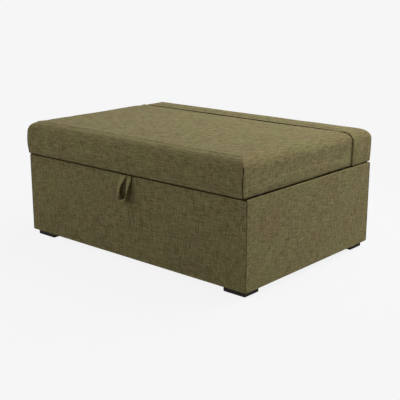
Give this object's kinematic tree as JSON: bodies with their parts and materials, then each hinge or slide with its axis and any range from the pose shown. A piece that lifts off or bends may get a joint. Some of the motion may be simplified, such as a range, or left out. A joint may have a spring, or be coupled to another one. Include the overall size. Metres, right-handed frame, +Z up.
{
  "type": "folding upholstered ottoman bed",
  "caption": "Upholstered box footstool with a padded lid that unfolds forward into a single guest bed, on low block feet.",
  "frame": {"origin": "on the floor, under the middle of the closed bed's bounding box", "axes": "+X along the long side to the right as seen from the front, -Y towards the front with the pull tab, +Z up"},
  "size_m": [1.06, 0.7621, 0.453],
  "materials": {
    "upholstery": "two-tone olive linen weave, matt",
    "ticking": "pale knitted mattress ticking, matt",
    "foam": "upholstery foam, matt",
    "panel_board": "plain board, sanded",
    "pine": "planed pine",
    "birch_slats": "bent birch laminate, satin",
    "black_plastic": "moulded, satin black",
    "dust_cloth": "black non-woven cloth",
    "black_steel": "black powder coat, satin",
    "zinc_steel": "zinc plated",
    "rubber": "black rubber"
  },
  "bodies": {
    "base": {"front_panel": "panel_board", "back_panel": "panel_board", "left_end_panel": "panel_board", "right_end_panel": "panel_board", "corner_posts": "pine", "floor_board": "panel_board", "dust_cover": "dust_cloth", "base_cover": "upholstery", "foot_front_left": "black_plastic", "foot_front_right": "black_plastic", "foot_back_left": "black_plastic", "foot_back_right": "black_plastic", "foot_screws": "zinc_steel", "bolster_deck": "panel_board", "bolster_spacers": "rubber", "bolster_board": "panel_board", "bolster_foam": "foam", "bolster_cover": "upholstery", "lid_buffers": "rubber", "front_rests": "rubber", "head_buffers": "rubber", "fold_brackets": "black_steel", "fold_bracket_pins": "zinc_steel", "lift_brackets": "black_steel", "lift_pins": "zinc_steel"},
    "middle_section": {"middle_frame": "pine", "middle_slats": "birch_slats", "middle_slat_holders": "black_plastic", "middle_mattress": "ticking", "middle_hinge_plates": "black_steel", "fold_hinge_pins": "zinc_steel", "middle_leg_lugs": "black_steel", "middle_leg_pins": "zinc_steel"},
    "foot_section": {"lid_battens": "pine", "lid_board": "panel_board", "lid_foam": "foam", "lid_cover": "upholstery", "lid_hinge_plates": "black_steel", "foot_leg_lugs": "black_steel", "foot_leg_pins": "zinc_steel"},
    "head_section": {"head_frame": "pine", "head_slats": "birch_slats", "head_slat_holders": "black_plastic", "head_mattress": "ticking", "head_pins": "zinc_steel"},
    "front_arms": {"front_lift_arms": "black_steel"},
    "rear_arms": {"rear_lift_arms": "black_steel"},
    "middle_leg_frame": {"middle_legs": "black_steel", "middle_leg_glides": "rubber"},
    "foot_leg_frame": {"foot_legs": "black_steel", "foot_leg_glides": "rubber"},
    "tab": {"pull_tab": "upholstery"}
  },
  "joints": [
    {"name": "unfold", "type": "hinge", "parent": "base", "child": "middle_section", "pos_m": [0, -0.3155, 0.322], "axis": [1, 0, 0], "range_deg": [0, 180]},
    {"name": "foot_section_fold", "type": "hinge", "parent": "middle_section", "child": "foot_section", "pos_m": [0, 0.246, 0.3205], "axis": [1, 0, 0], "range_deg": [-180, 0]},
    {"name": "middle_legs_fold", "type": "hinge", "parent": "middle_section", "child": "middle_leg_frame", "pos_m": [0, 0.196, 0.306], "axis": [1, 0, 0], "range_deg": [-90, 0]},
    {"name": "foot_legs_fold", "type": "hinge", "parent": "foot_section", "child": "foot_leg_frame", "pos_m": [0, -0.32, 0.339], "axis": [1, 0, 0], "range_deg": [-90, 0]},
    {"name": "front_arms_lift", "type": "hinge", "parent": "base", "child": "front_arms", "pos_m": [0, -0.26065, 0.1975], "axis": [1, 0, 0], "range_deg": [0, 68]},
    {"name": "rear_arms_lift", "type": "hinge", "parent": "base", "child": "rear_arms", "pos_m": [0, -0.08565, 0.1975], "axis": [1, 0, 0], "range_deg": [0, 68]},
    {"name": "head_section_level", "type": "hinge", "parent": "front_arms", "child": "head_section", "pos_m": [0, -0.0445, 0.053], "axis": [1, 0, 0], "range_deg": [-68, 0]},
    {"name": "tab_swing", "type": "hinge", "parent": "foot_section", "child": "tab", "pos_m": [0.01, -0.356, 0.3247], "axis": [-1, 0, 0], "range_deg": [0, 75]}
  ],
  "couplings": [
    {"joint": "foot_section_fold", "follows": "unfold", "ratio": -1},
    {"joint": "middle_legs_fold", "follows": "unfold", "ratio": -0.5},
    {"joint": "foot_legs_fold", "follows": "unfold", "ratio": -0.5},
    {"joint": "front_arms_lift", "follows": "unfold", "ratio": 0.37515},
    {"joint": "rear_arms_lift", "follows": "unfold", "ratio": 0.37515},
    {"joint": "head_section_level", "follows": "unfold", "ratio": -0.37515}
  ]
}
